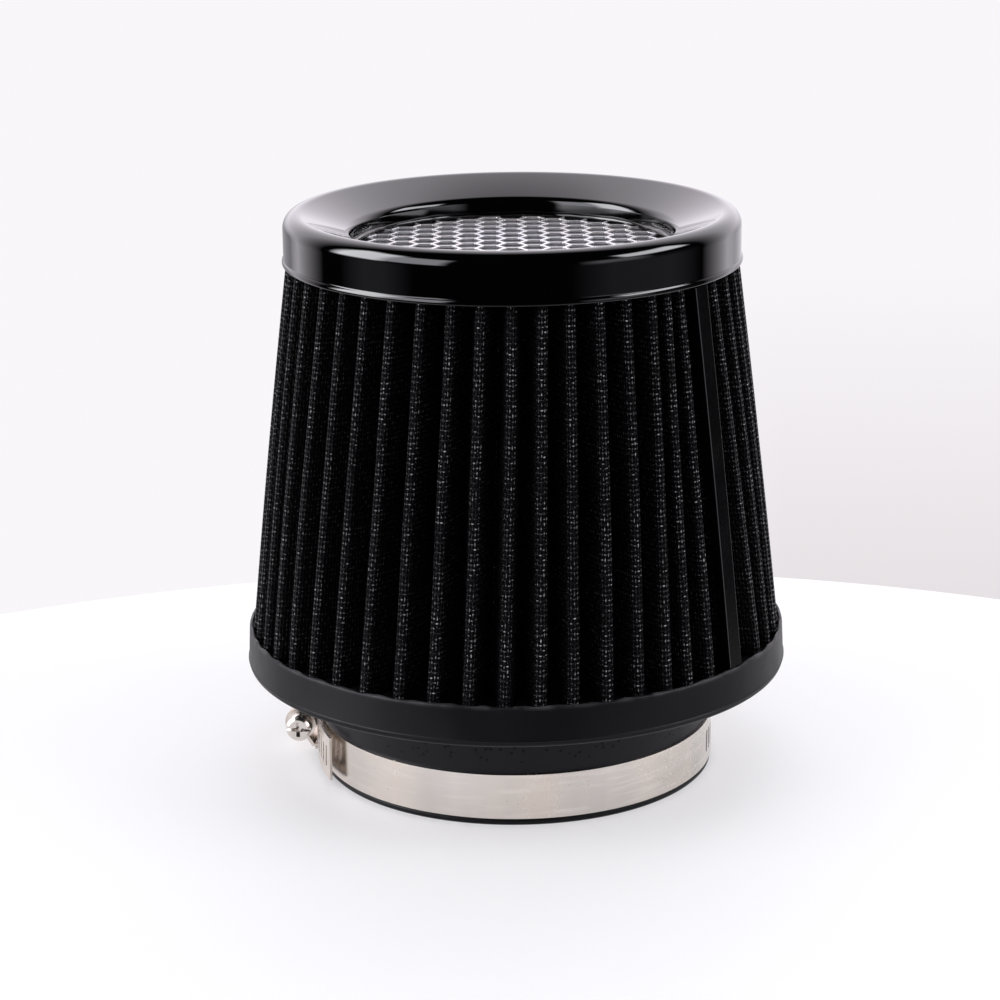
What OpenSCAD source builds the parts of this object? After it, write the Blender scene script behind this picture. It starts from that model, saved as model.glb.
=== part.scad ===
// Cone air filter with a clamp-on rubber neck, a pleated side and a breathing grille in its cap.
// The filter stands on its neck: the origin is the centre of the neck's open end, and +Z is up.
// An azimuth is counted from -Y towards +X.

/* [Neck] */
// Outside of the neck
neck_od = 110.4; // [109.4:0.2:112]
// Wall of the neck, round the bore that slides over the intake pipe
neck_wall = 4.2; // [3.2:0.1:17.2]
// Height at which the neck runs into the underside of the base
neck_h = 24.5; // [20:0.5:27]
// Height of the stop bead at the open end
bead_h = 1.7; // [1.2:0.1:1.8]
// How far the stop bead stands out of the neck
bead_proud = 0.5; // [0.2:0.1:0.6]

/* [Base] */
// Outside of the base at its lower edge
rim_od = 152.4; // [150:0.2:160]
// Height of the lower edge of the base
rim_z = 31.4; // [30:0.2:33]
// Height of the side wall of the base
rim_h = 10.2; // [9:0.2:12]
// Draft of the side wall of the base, on the radius
rim_draft = 0.4; // [0.2:0.1:0.8]
// Thickness of the lip that holds the pleats in, at its foot
lip_wall = 0.8; // [0.6:0.1:1.2]
// Depth to which the pleats are set in the base
pleat_seat = 5.6; // [4:0.2:6.4]
// How far the rubber between the pleats stays below the edge of the lip
fill_drop = 0.6; // [0.4:0.1:2]

/* [Pleats] */
// Number of pleats
pleat_count = 50; // [40:1:52]
// Width of one pleat across its outer fold, at the foot
pleat_w = 3.9; // [3.6:0.1:4.2]
// Radial depth of the pleats, at the foot
pleat_depth = 14.5; // [12:0.5:16]
// Thickness of one wire screen
screen_t = 0.35; // [0.25:0.05:0.4]
// Thickness of the cotton between the screens
cotton_t = 0.9; // [0.6:0.05:0.95]

/* [Cap] */
// Height of the whole filter
filter_h = 159; // [150:1:175]
// Outside of the cap at its lower edge
cap_od = 126.8; // [124:0.2:132]
// Height of the cap
cap_h = 13.7; // [13.5:0.1:16]
// Wall of the cap
cap_wall = 0.9; // [0.7:0.1:1]
// Draft of the cap's side, on the radius
cap_draft = 0.45; // [0.2:0.05:0.6]
// Radius of the rounded outer edge
cap_round = 4; // [3:0.1:4.5]
// Diameter of the opening over the grille
opening_d = 88.6; // [82:0.2:90]
// How far the dish falls from the crest to the opening
dish_drop = 4.7; // [3.6:0.1:5]
// Height of the wall between the opening's edge and the grille
recess_h = 5.4; // [5:0.1:5.8]

/* [Grille] */
// Distance between the cells of the grille
hex_pitch = 7; // [6:0.1:9]
// Width of the web between two cells
hex_web = 0.9; // [0.8:0.1:1.4]
// Thickness of the grille
grille_t = 0.75; // [0.5:0.05:0.9]
// How far the grille reaches under the cap
grille_under = 2.9; // [2.4:0.1:3]

/* [Seam] */
// Azimuth of the strip that closes the seam, from which the pleats are counted
seam_az = 51.8; // [20:0.2:140]
// Largest angle by which the pleats in front of the seam are crowded towards it
gather_az = 3.7; // [0:0.1:4.4]
// Clear width inside the strip
strip_in = 4.5; // [4.4:0.1:4.8]
// Wall of the strip
strip_wall = 0.5; // [0.4:0.1:0.6]
// Depth of the strip's two legs
strip_leg = 3; // [2:0.2:3.4]

/* [Clamp] */
// Width of the band
band_w = 12.7; // [9:0.1:12.8]
// Thickness of the band
band_t = 0.7; // [0.6:0.05:0.8]
// Height of the band's lower edge
band_z = 2; // [1.9:0.1:4]
// Azimuth of the worm housing
clamp_az = -98; // [-110:1:-85]
// Azimuth at which the loose tail ends
tail_az = -63; // [-68:1:-50]
// How far the end of the tail stands off the band
tail_lift = 2.4; // [1.6:0.1:3]
// Distance between two slots of the band
slot_pitch = 3.2; // [3:0.1:4]
// Width of a slot
slot_w = 1.2; // [1:0.1:1.4]
// Length of a slot
slot_l = 6.4; // [5:0.1:7]
// Outside of the worm
worm_d = 8.4; // [7.8:0.1:8.6]
// Diameter of the screw's head
head_d = 7.2; // [6.6:0.1:7.8]
// Height of the screw's head
head_h = 5; // [4:0.1:6]
// Length of the worm housing
housing_l = 12.4; // [11:0.1:14]
// Sheet of the housing
housing_t = 0.7; // [0.6:0.05:0.8]
// Sheet of the saddle
saddle_t = 0.8; // [0.6:0.05:0.9]

/* [Hidden] */
// Gap between glued, cast or stacked pieces
seat_gap = 0.05;
// Running clearance of the worm screw, on the radius
run_gap = 0.1;
// Gap between the worm and the band that it drives
worm_gap = 0.2;
// Smooth circles
$fn = 96;
// Overshoot of every cut
eps = 0.01;
// Taken as further than anything on the filter
far = 200;

neck_r = neck_od / 2;
bore_r = neck_r - neck_wall;
rim_r = rim_od / 2;
rim_top = rim_z + rim_h;
cap_r = cap_od / 2;
cap_z = filter_h - cap_h;
opening_r = opening_d / 2;

// The pleated side is a cone: its outer radius at the cap's mouth and at its foot
pleat_in_cap = 5.2;
mouth_gap = 0.15;
pleat_z0 = rim_top - pleat_seat;
pleat_z1 = cap_z + pleat_in_cap;
foot_r = rim_r - rim_draft * (pleat_z0 - rim_z) / rim_h - lip_wall;
mouth_r = cap_r - cap_wall - mouth_gap;
pleat_slope = (foot_r - mouth_r) / (cap_z - pleat_z0);
function pleat_r(z) = foot_r - pleat_slope * (z - pleat_z0);
pleat_scale = pleat_r(pleat_z1) / foot_r;
inner_share = (foot_r - pleat_depth) / foot_r;
function pleat_inner_r(z) = pleat_r(z) * inner_share;
wall_t = 2 * screen_t + cotton_t;
pleat_az = 360 / pleat_count;
// Angles before the seam at which the crowding starts and fades out, and over which it does so
crowd_start = 9;
crowd_rise = 20;
crowd_end = 60;
crowd_fall = 110;
// Half width of the fold at the outer and at the inner end of a pleat
fold_r = pleat_w / 2;
inner_fold_r = wall_t + 0.15;
fold_steps = [-90, -45, 0, 45, 90];
// Distance from a fold to the thin edge of the rubber that fills the pleat behind it
tooth_apex = 3;
// Clearance of that rubber from the outer and from the inner face of the pack
tooth_gap = 0.1;
inner_tooth_gap = 0.3;
// How deep it is rooted in the base
tooth_root = 0.5;
// Collar inside the pack: its wall and its drop below the rubber
collar_wall = 2.2;
collar_drop = 0.4;
// Rubber under the pleats where the bore ends, and the slope by which the throat opens above it
floor_t = 5;
throat_fall = 1.4;
bead_edge = 0.3;

// Grille and the layers under it, from the top down
grille_r = opening_r + grille_under;
grille_z = filter_h - dish_drop - recess_h - seat_gap - grille_t;
top_outer_z = grille_z - seat_gap - screen_t;
top_media_t = 1.05;
top_media_z = top_outer_z - seat_gap - top_media_t;
top_inner_z = top_media_z - seat_gap - screen_t;
ledge_t = 1.1;
ledge_w = 1.3;

// Clamp, from the neck outwards
band_r = neck_r + seat_gap;
band_or = band_r + band_t;
saddle_r = band_or + seat_gap;
tail_r = saddle_r + saddle_t + seat_gap;
tail_or = tail_r + band_t;
worm_r = worm_d / 2;
worm_step = 1;
tip_r = worm_r - 1.8;
screw_r = tail_or + worm_gap + worm_r;
band_mid = band_z + band_w / 2;
ramp_az = 28;
ramp_end = 10;
fixed_az = clamp_az - 8;
slot_step = slot_pitch / band_or * 180 / PI;
first_slot = 74;
slot_slant = 6;
housing_in = band_w / 2 + 0.15;
ear_gap = 0.05;

// Direction of an azimuth in plan
function plan(az, r) = [r * sin(az), -r * cos(az)];

// Turns what is drawn at the front of the filter to an azimuth
module at_az(az) {
    rotate([0, 0, az]) children();
}

// Points of an arc, from one angle to another
function arc(c, r, a0, a1, n) = [
    for (i = [0 : n])
        let (a = a0 + (a1 - a0) * i / n)
            c + r * [cos(a), sin(a)]
];

// A line of points, read from its end
function reversed(p) = [for (i = [len(p) - 1 : -1 : 0]) p[i]];

// Outer fold number i, with the pleats in front of the seam crowded towards it
function ease(x) = let (t = min(1, max(0, x))) t * t * (3 - 2 * t);
function crowd(before) =
    ease((before - crowd_start) / crowd_rise) * (1 - ease((before - crowd_end) / crowd_fall));
function ridge_az(i) = seam_az + i * pleat_az + gather_az * crowd((pleat_count - i) * pleat_az);
function valley_az(i) = (ridge_az(i) + ridge_az(i + 1)) / 2;

// One wall line of the pleats, a depth d in from the outermost skin
function fold_point(ridge_az, across, r) = plan(ridge_az + atan2(across, r), norm([across, r]));
function pleat_line(d) = [
    for (i = [0 : pleat_count - 1])
        let (ridge = ridge_az(i), valley = valley_az(i))
            for (part = [0, 1], a = fold_steps)
                part == 0
                    ? fold_point(ridge, (fold_r - d) * sin(a), foot_r - fold_r + (fold_r - d) * cos(a))
                    : fold_point(
                        valley,
                        (inner_fold_r - wall_t + d) * sin(a),
                        foot_r - pleat_depth + inner_fold_r - (inner_fold_r - wall_t + d) * cos(a)
                    )
];

// One layer of the pleated side, between two depths
module pleat_layer(d0, d1) {
    translate([0, 0, pleat_z0])
        linear_extrude(height = pleat_z1 - pleat_z0, scale = pleat_scale)
            difference() {
                polygon(pleat_line(d0));
                polygon(pleat_line(d1));
            }
}

module outer_screen() {
    color("#3a3b3d") pleat_layer(0, screen_t);
}

module filter_media() {
    color("#141416") pleat_layer(screen_t, screen_t + cotton_t);
}

module inner_screen() {
    color("#4a4b4d") pleat_layer(screen_t + cotton_t, wall_t);
}

// Section of the base: neck, underside, rim, seat of the pleats and throat
module base_section() {
    under_round = 3;
    under_slope = 10;
    rim_round = 1.2;
    lip_round = 0.5;
    lead_in = 0.6;
    flash = 0.2;
    flash_z = rim_z + 3 * flash;
    bead_r = neck_r + bead_proud;
    seat_z = pleat_z0 - seat_gap;
    collar_top = rim_top - fill_drop - collar_drop;
    collar_r = pleat_inner_r(collar_top) - 3 * seat_gap;
    throat_r = collar_r - collar_wall;
    throat_z = seat_z - floor_t;
    throat_top = min(collar_top - 2 * lead_in, throat_z + throat_fall * max(0, throat_r - bore_r));
    polygon(concat(
        [[bore_r + lead_in, 0], [bore_r, lead_in], [bore_r, throat_z], [throat_r, throat_top]],
        [[throat_r, collar_top - lead_in], [throat_r + lead_in, collar_top], [collar_r, collar_top]],
        [[foot_r - pleat_depth - seat_gap, seat_z]],
        [[foot_r + seat_gap, seat_z], [pleat_r(rim_top) + seat_gap, rim_top]],
        arc([rim_r - rim_draft - lip_round, rim_top - lip_round], lip_round, 90, 0, 4),
        [[rim_r, flash_z + 2 * flash], [rim_r + flash, flash_z + flash]],
        [[rim_r + flash, flash_z - flash]],
        arc([rim_r - rim_round, rim_z + flash], rim_round, 0, under_slope - 90, 5),
        arc([neck_r + under_round, neck_h], under_round, under_slope + 90, 180, 6),
        [[neck_r, bead_h], [bead_r, bead_h - bead_edge], [bead_r, bead_proud], [neck_r, 0]]
    ));
}

// Rubber that stands between outer folds i and i + 1, outside the pack
function outer_tooth(i) =
    let (
        a0 = ridge_az(i),
        a1 = ridge_az(i + 1),
        half_w = fold_r + tooth_gap,
        root_r = foot_r + lip_wall / 2,
        apex_r = foot_r - pleat_depth + 2 * inner_fold_r + tooth_apex,
        steps = [20, 55, 90],
        side0 = [for (a = steps) fold_point(a0, half_w * sin(a), foot_r - fold_r + half_w * cos(a))],
        side1 = [for (a = steps) fold_point(a1, -half_w * sin(a), foot_r - fold_r + half_w * cos(a))]
    )
    concat(
        [fold_point(a0, half_w * sin(steps[0]), root_r)],
        side0,
        [plan((a0 + a1) / 2, apex_r)],
        reversed(side1),
        [fold_point(a1, -half_w * sin(steps[0]), root_r)]
    );

// The same inside the pack, behind outer fold i
function inner_tooth(i) =
    let (
        a0 = valley_az(i - 1),
        a1 = valley_az(i),
        half_w = inner_fold_r + inner_tooth_gap,
        root_r = foot_r - pleat_depth - 2 * tooth_root,
        radii = [root_r, foot_r - pleat_depth + inner_fold_r],
        side0 = [for (r = radii) fold_point(a0, half_w, r)],
        side1 = [for (r = radii) fold_point(a1, -half_w, r)]
    )
    concat(side0, [plan((a0 + a1) / 2, foot_r - fold_r - tooth_apex)], reversed(side1));

module base_teeth() {
    translate([0, 0, pleat_z0 - tooth_root])
        linear_extrude(height = rim_top - fill_drop - pleat_z0 + tooth_root)
            for (i = [0 : pleat_count - 1]) {
                polygon(outer_tooth(i));
                polygon(inner_tooth(i));
            }
}

module base() {
    color("#2b2c30") {
        rotate_extrude($fn = 192) base_section();
        base_teeth();
    }
}

// Strip that is folded over the seam pleat, drawn along the side of the cone
module seam_clip() {
    tilt = atan(pleat_slope);
    end_gap = 0.3;
    z0 = rim_top + end_gap;
    z1 = cap_z - end_gap;
    half_in = strip_in / 2;
    half_out = half_in + strip_wall;
    top_gap = 0.1;
    color("#17181a")
        at_az(seam_az)
            intersection() {
                translate([0, -pleat_r(z0), z0])
                    rotate([-tilt, 0, 0])
                        translate([0, 0, -strip_leg])
                            linear_extrude(height = z1 - z0 + 3 * strip_leg)
                                difference() {
                                    translate([-half_out, -top_gap - strip_wall])
                                        square([2 * half_out, strip_leg + strip_wall]);
                                    translate([-half_in, -top_gap])
                                        square([strip_in, far]);
                                }
                translate([-far, -far, z0]) cube([2 * far, 2 * far, z1 - z0]);
            }
}

// Outer line of the cap, a distance d inside its visible skin
function cap_line(d) =
    let (
        top_z = filter_h,
        side_r = cap_r - cap_draft,
        crest_r = side_r - cap_round,
        edge = 1.1,
        run = [crest_r - opening_r - edge, dish_drop + edge - cap_round],
        fall = atan2(run[1], run[0]) + asin((cap_round - edge) / norm(run))
    )
    concat(
        [[cap_r - d, cap_z + cap_wall / 2]],
        arc([crest_r, top_z - cap_round], cap_round - d, 0, 90 + fall, 10),
        arc([opening_r + edge, top_z - dish_drop - edge], edge - d, 90 + fall, 180, 5),
        [[opening_r + d, top_z - dish_drop - recess_h]]
    );

module top_cap() {
    half = cap_wall / 2;
    color("#0c0c0e")
        rotate_extrude($fn = 192)
            polygon(concat(
                arc([cap_r - half, cap_z + half], half, -180, 0, 6),
                [for (i = [1 : len(cap_line(0)) - 1]) cap_line(0)[i]],
                [for (i = [len(cap_line(cap_wall)) - 1 : -1 : 1]) cap_line(cap_wall)[i]]
            ));
}

// Rubber that fills the cap and holds the heads of the pleats and the layers under the grille
module top_potting() {
    roof_z = pleat_z1 + seat_gap;
    core_r = pleat_inner_r(pleat_z1) - 4 * seat_gap;
    seat_r = grille_r + seat_gap;
    ledge_z = top_inner_z - seat_gap;
    low_z = ledge_z - ledge_t;
    inside = opening_r + cap_wall + seat_gap;
    color("#26272a")
        rotate_extrude($fn = 192)
            difference() {
                intersection() {
                    polygon(concat([[inside, 0], [cap_r, 0]], potting_line(inside)));
                    union() {
                        translate([0, low_z]) square([core_r, far]);
                        translate([0, roof_z]) square([pleat_r(pleat_z1), far]);
                    }
                }
                translate([0, ledge_z]) square([seat_r, grille_z + grille_t + seat_gap - ledge_z]);
                translate([0, 0]) square([grille_r - ledge_w, ledge_z + eps]);
            }
}

// Underside of the cap's crest, dish and inner wall, with the gap of a glued joint
function potting_line(inside) = [
    for (p = cap_line(cap_wall + seat_gap))
        if (p[1] > cap_z) [max(p[0], inside), p[1]]
];

// Sheet with six-sided cells, flats towards the front and the back
module top_grille() {
    col = hex_pitch * sqrt(3) / 2;
    cells = ceil(grille_r / col);
    cell_r = (hex_pitch - hex_web) / sqrt(3);
    edge = 0.4;
    color("#b9bcc0")
        translate([0, 0, grille_z])
            linear_extrude(height = grille_t)
                difference() {
                    circle(r = grille_r, $fn = 192);
                    for (i = [-cells : cells], j = [-cells : cells]) {
                        x = i * col;
                        y = (j + (i % 2 == 0 ? 0 : 0.5)) * hex_pitch;
                        if (norm([x, y]) < grille_r - edge - cell_r)
                            translate([x, y]) circle(r = cell_r, $fn = 6);
                    }
                }
}

module top_layer(z, t) {
    translate([0, 0, z]) cylinder(r = grille_r, h = t, $fn = 192);
}

module top_outer_screen() {
    color("#8b8d90") top_layer(top_outer_z, screen_t);
}

module top_media() {
    color("#141416") top_layer(top_media_z, top_media_t);
}

module top_inner_screen() {
    color("#4a4b4d") top_layer(top_inner_z, screen_t);
}

// Inner radius of the band where it climbs over the saddle and runs out as the loose tail
function band_inner(az) =
    let (
        up0 = clamp_az - ramp_az,
        up1 = clamp_az - ramp_end,
        out0 = clamp_az + ramp_end,
        rise = tail_r - band_r,
        u = min(1, max(0, (az - up0) / (up1 - up0))),
        v = max(0, (az - out0) / (tail_az - out0))
    )
    band_r + rise * u * u * (3 - 2 * u) + (band_or + tail_lift - tail_r) * v * v;

function band_turn(az0, az1, n, d) = [
    for (i = [0 : n]) let (az = az0 + (az1 - az0) * i / n) plan(az, band_inner(az) + d)
];

module band_strip() {
    steps = 230;
    start = fixed_az - 360;
    inside = band_turn(start, tail_az, steps, 0);
    outside = band_turn(start, tail_az, steps, band_t);
    polygon(concat(inside, reversed(outside)));
}

// Slots that the worm runs in, from the right side round the back to the end of the tail
module band_slots() {
    count = floor((tail_az + 360 - first_slot) / slot_step) - 1;
    for (k = [0 : count]) {
        az = first_slot + k * slot_step;
        at_az(az)
            translate([0, -band_inner(az - 360) - 2 * band_t, band_mid])
                rotate([-90, 0, 0])
                    rotate([0, 0, slot_slant])
                        linear_extrude(height = 3 * band_t)
                            slot_outline();
    }
}

module slot_outline() {
    square([slot_w, slot_l - slot_w], center = true);
    for (s = [-1, 1]) translate([0, s * (slot_l - slot_w) / 2]) circle(d = slot_w, $fn = 16);
}

module clamp_band() {
    color("#d3d0cb")
        difference() {
            translate([0, 0, band_z]) linear_extrude(height = band_w) band_strip();
            band_slots();
        }
}

// Draws across the screw: x runs out of the clamp, y is up, and the extrusion runs to the head
module along_screw(s0, s1) {
    at_az(clamp_az)
        translate([0, -screw_r, band_mid])
            rotate([0, 90, 0])
                translate([0, 0, s0])
                    linear_extrude(height = s1 - s0)
                        rotate([0, 0, -90])
                            children();
}

// Plate that the band's fixed end is welded to, with ears folded round the housing's feet
module clamp_saddle() {
    ear_in = housing_in + housing_t + ear_gap;
    ear_l = 3;
    ear_h = 2.6;
    ear_root = band_w / 2 - 0.5;
    ear_az = ear_l / 2 / saddle_r * 180 / PI;
    span = housing_l / 2 / saddle_r * 180 / PI;
    color("#c9c6c1") {
        rotate([0, 0, clamp_az - span - 90])
            rotate_extrude(angle = 2 * span, $fn = 192)
                translate([saddle_r, band_z])
                    square([saddle_t, band_w]);
        for (side = [-1, 1], s = [-1, 1])
            at_az(clamp_az + s * (span - ear_az))
                translate([-ear_l / 2, -saddle_r - ear_h, band_mid]) {
                    translate([0, 0, side > 0 ? ear_in : -ear_in - housing_t])
                        cube([ear_l, ear_h, housing_t]);
                    translate([0, ear_h - saddle_t, side > 0 ? ear_root : -ear_in - eps])
                        cube([ear_l, saddle_t, ear_in + eps - ear_root]);
                }
    }
}

// Section of the housing: an arch over the worm on two feet outside the band
module housing_outline(grow) {
    arch = worm_r + run_gap + grow;
    foot = housing_in + grow;
    foot_x = tail_r - screw_r;
    foot_h = 1.6;
    shoulder = foot_x + foot_h + grow;
    hip = shoulder + foot_h;
    waist = arch - 0.25;
    circle(r = arch);
    polygon([
        [foot_x, -foot], [shoulder, -foot], [hip, -waist], [0, -arch],
        [0, arch], [hip, waist], [shoulder, foot], [foot_x, foot]
    ]);
}

// End wall of the housing, with the hole that the screw turns in
module housing_end(shaft_r) {
    difference() {
        circle(r = worm_r + run_gap + eps);
        circle(r = shaft_r + run_gap);
        translate([-far - worm_r + worm_step, -far]) square([far, 2 * far]);
    }
}

module clamp_housing() {
    half = housing_l / 2;
    color("#bdbab5") {
        along_screw(-half, half)
            difference() {
                housing_outline(housing_t);
                housing_outline(0);
                translate([tail_r - screw_r - far, -far]) square([far + eps, 2 * far]);
            }
        along_screw(-half, -half + housing_t) housing_end(tip_r);
        along_screw(half - housing_t, half) housing_end(worm_r - worm_step);
    }
}

// Worm screw with a collar and a head for either a flat or a cross driver
module clamp_screw() {
    half = housing_l / 2;
    back = -half + housing_t + run_gap;
    collar0 = half + run_gap;
    collar_t = 0.9;
    head0 = collar0 + collar_t;
    head1 = head0 + head_h;
    front = half - housing_t - run_gap;
    chamfer = 0.7;
    recess = 2.2;
    slot_t = 0.9;
    cross_t = 1.1;
    cross_l = head_d * 0.6;
    cross_w = head_d * 0.42;
    color("#dcdad6")
        at_az(clamp_az)
            translate([0, -screw_r, band_mid])
                rotate([0, 90, 0])
                    difference() {
                        union() {
                            translate([0, 0, -half - 1]) cylinder(r = tip_r, h = half + 1);
                            translate([0, 0, back]) cylinder(r = worm_r, h = front - back);
                            translate([0, 0, 0]) cylinder(r = worm_r - worm_step, h = collar0 + eps);
                            translate([0, 0, collar0]) cylinder(r = worm_r, h = collar_t);
                            translate([0, 0, head0]) cylinder(d = head_d, h = head_h - chamfer);
                            translate([0, 0, head1 - chamfer - eps])
                                cylinder(r1 = head_d / 2, r2 = head_d / 2 - chamfer, h = chamfer + eps);
                        }
                        translate([0, 0, head1 - recess / 2])
                            linear_extrude(height = recess)
                                square([slot_t, far], center = true);
                        translate([0, 0, head1 - recess])
                            linear_extrude(height = recess + 1) {
                                square([cross_l, cross_t], center = true);
                                square([cross_t, cross_w], center = true);
                            }
                    }
}

base();
outer_screen();
filter_media();
inner_screen();
seam_clip();
top_cap();
top_potting();
top_grille();
top_outer_screen();
top_media();
top_inner_screen();
clamp_band();
clamp_saddle();
clamp_housing();
clamp_screw();
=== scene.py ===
"""Cone air filter: finish pieces, materials, table, light and camera around the packed frame."""

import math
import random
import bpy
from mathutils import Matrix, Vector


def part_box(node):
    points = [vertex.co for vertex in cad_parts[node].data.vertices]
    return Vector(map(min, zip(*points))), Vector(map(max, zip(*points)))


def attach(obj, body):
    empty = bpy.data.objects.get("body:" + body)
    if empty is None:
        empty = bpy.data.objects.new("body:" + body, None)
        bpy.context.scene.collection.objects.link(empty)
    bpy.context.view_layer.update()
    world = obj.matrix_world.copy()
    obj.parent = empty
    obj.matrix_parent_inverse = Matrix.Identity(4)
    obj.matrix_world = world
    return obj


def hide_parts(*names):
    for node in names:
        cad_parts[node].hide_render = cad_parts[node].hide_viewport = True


bl_info = {
    "name": "Cone Air Filter",
    "version": (1, 0, 0),
    "blender": (4, 5, 0),
    "location": "View3D > Sidebar > Air Filter",
    "description": "Builds the visible pieces and finishes of a pleated cone air filter",
    "category": "Object",
}

import bmesh
import bpy
from bpy.props import FloatProperty, FloatVectorProperty, IntProperty, PointerProperty
from bpy.types import Operator, Panel, PropertyGroup
from mathutils import Matrix, Vector, noise

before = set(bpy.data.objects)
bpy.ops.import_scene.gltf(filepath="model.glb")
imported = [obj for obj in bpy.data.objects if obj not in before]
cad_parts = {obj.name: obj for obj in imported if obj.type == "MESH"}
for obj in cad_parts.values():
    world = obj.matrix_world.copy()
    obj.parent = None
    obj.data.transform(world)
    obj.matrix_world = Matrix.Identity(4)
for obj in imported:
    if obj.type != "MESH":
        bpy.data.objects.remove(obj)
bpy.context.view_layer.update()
MM = 0.001
FILTER = "filter"
SCREW = "screw"

# Small sizes, in millimetres
CAP_WALL = 0.9
CAP_GAP = 0.15  # between the pack and the inside of the cap
FOLD_BEND = 0.15  # radius of the outer screen at the bottom of a valley
FOLD_STEP = (-0.25, 0.05)  # how far a whole fold may stand back or out
FOLD_WANDER = 0.25  # how far a fold may sway along its length
BLOOM_LOWER = (8.0, 14.0)  # heights between which the neck's pale bloom sets in
BLOOM_UPPER = (24.5, 31.0)  # and between which it fades
PINHOLES = (17.5, 24.5)  # heights between which the neck has pinholes

# Segments round the spun pieces, rows up the lofted ones
BASE_TURN = 600
CAP_TURN = 320
RESIN_TURN = 420
PACK_ROWS = 18
STRIP_ROWS = 14

# Angle, in degrees, from which the edges of the clamp's parts are sharp
PLATE_SHARP = 30.0

# Low and high corners of the solids that the pieces are fitted to, in metres
BASE_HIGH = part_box("base")[1]
CAP_LOW, CAP_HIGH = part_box("top_cap")
SCREEN_LOW, SCREEN_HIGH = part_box("outer_screen")
GRILLE_LOW, GRILLE_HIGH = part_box("top_grille")
CLIP_LOW, CLIP_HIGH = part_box("seam_clip")


def length(name, value, note):
    """A length in metres, given in millimetres."""
    return FloatProperty(
        name=name, description=note, default=value * MM, min=0.0,
        unit="LENGTH", subtype="DISTANCE", precision=5,
    )


def angle(name, value, note):
    """An angle, given in degrees."""
    return FloatProperty(name=name, description=note, default=math.radians(value), subtype="ANGLE")


def colour(name, value, note):
    """A linear colour without alpha."""
    return FloatVectorProperty(
        name=name, description=note, default=value, size=3, min=0.0, max=1.0, subtype="COLOR"
    )


class AirFilterPleats(PropertyGroup):
    """Pleated pack of screen, cotton and screen"""

    count: IntProperty(
        name="Pleats", description="Number of pleats round the cone", default=50, min=20, max=80
    )
    seam: angle("Seam", 51.8, "Azimuth of the pleat under the strip, from the front towards the right")
    fold: length("Fold width", 3.7, "Width of a pleat across its outer fold at the foot")
    depth: length("Depth", 14.5, "Radial depth of a pleat at the foot")
    screen: length("Screen", 0.35, "Thickness of one wire screen")
    cotton: length("Cotton", 0.9, "Thickness of the cotton between the screens")
    foot: length("Foot radius", 75.15, "Radius over the outer folds where the pack stands in the base")
    belly: length("Belly", 0.4, "How far the pack bulges half way up")
    gather_foot: angle("Gather, foot", 2.6, "How far the pleats in front of the seam are drawn to it")
    gather_top: angle("Gather, top", 5.6, "The same at the top")
    start_foot: angle("Crowding starts, foot", 9.0, "Angle before the seam at which the gather starts")
    start_top: angle("Crowding starts, top", 3.0, "The same at the top")
    crowd_rise: angle("Crowding rises", 20.0, "Angle over which that sets in")
    crowd_end: angle("Crowding fades", 60.0, "Angle before the seam at which it starts to fade")
    fall_foot: angle("Crowding ends, foot", 45.0, "Angle over which it fades at the foot")
    fall_top: angle("Crowding ends, top", 84.0, "The same at the top")
    spread_foot: angle("Spread, foot", 5.0, "How far the pleats behind the seam are pushed off it")
    spread_top: angle("Spread, top", 0.1, "The same at the top")
    strip_lean: angle("Strip lean", -0.5, "How far the strip turns between the foot and the cap")
    uneven: angle("Unevenness", 0.2, "Largest step of a fold out of its even place")


class AirFilterWeave(PropertyGroup):
    """Woven wire of the screens"""

    across: length("Mesh across", 0.98, "Distance between two upright wires")
    along: length("Mesh along", 1.33, "Distance between two level wires")
    gauze: length("Gauze", 0.62, "Distance between two wires of the fine screen in the cap")


class AirFilterBase(PropertyGroup):
    """Base: neck, underside and rim"""

    neck: length("Neck radius", 55.2, "Outside of the neck")
    neck_height: length("Neck height", 24.5, "Height at which the neck runs into the underside")
    bore: length("Bore radius", 51.0, "Bore of the neck")
    bore_top: length("Bore top", 30.95, "Height at which the bore opens to the throat")
    throat: length("Throat radius", 57.9, "Radius of the throat inside the pack")
    bead: length("Stop bead", 1.7, "Height of the bead at the open end")
    bead_proud: length("Bead proud", 0.5, "How far the bead stands out of the neck")
    rim: length("Rim foot", 31.4, "Height of the lower edge of the rim")
    draft: length("Draft", 0.4, "How much narrower the rim is at its top")
    fill: length("Fill", 1.9, "How far the rubber between the pleats stays below the rim's top")


class AirFilterCap(PropertyGroup):
    """Cap and the honeycomb grille in it"""

    opening: length("Opening radius", 44.3, "Radius of the opening over the grille")
    wall: length("Wall", CAP_WALL, "Wall of the cap")
    draft: length("Draft", 0.45, "How much narrower the cap's side is at its top")
    round: length("Round", 4.0, "Radius of the rounded outer edge")
    edge: length("Opening edge", 2.4, "Radius of the edge where the dish turns down into the opening")
    dish: length("Dish", 4.7, "How far the dish falls towards the opening")
    recess: length("Recess", 5.4, "Height of the wall under the opening's edge")
    taper: angle("Recess taper", 7.0, "Lean of that wall")
    pitch: length("Cell pitch", 7.0, "Distance between the cells of the grille")
    web: length("Web", 0.9, "Width of the web between two cells")
    lip: length("Lip", 1.7, "Radius of the soft lip round the cap's mouth")
    bead: length("Resin", 0.95, "Radius of the resin that glues the grille to the cap")


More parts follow.
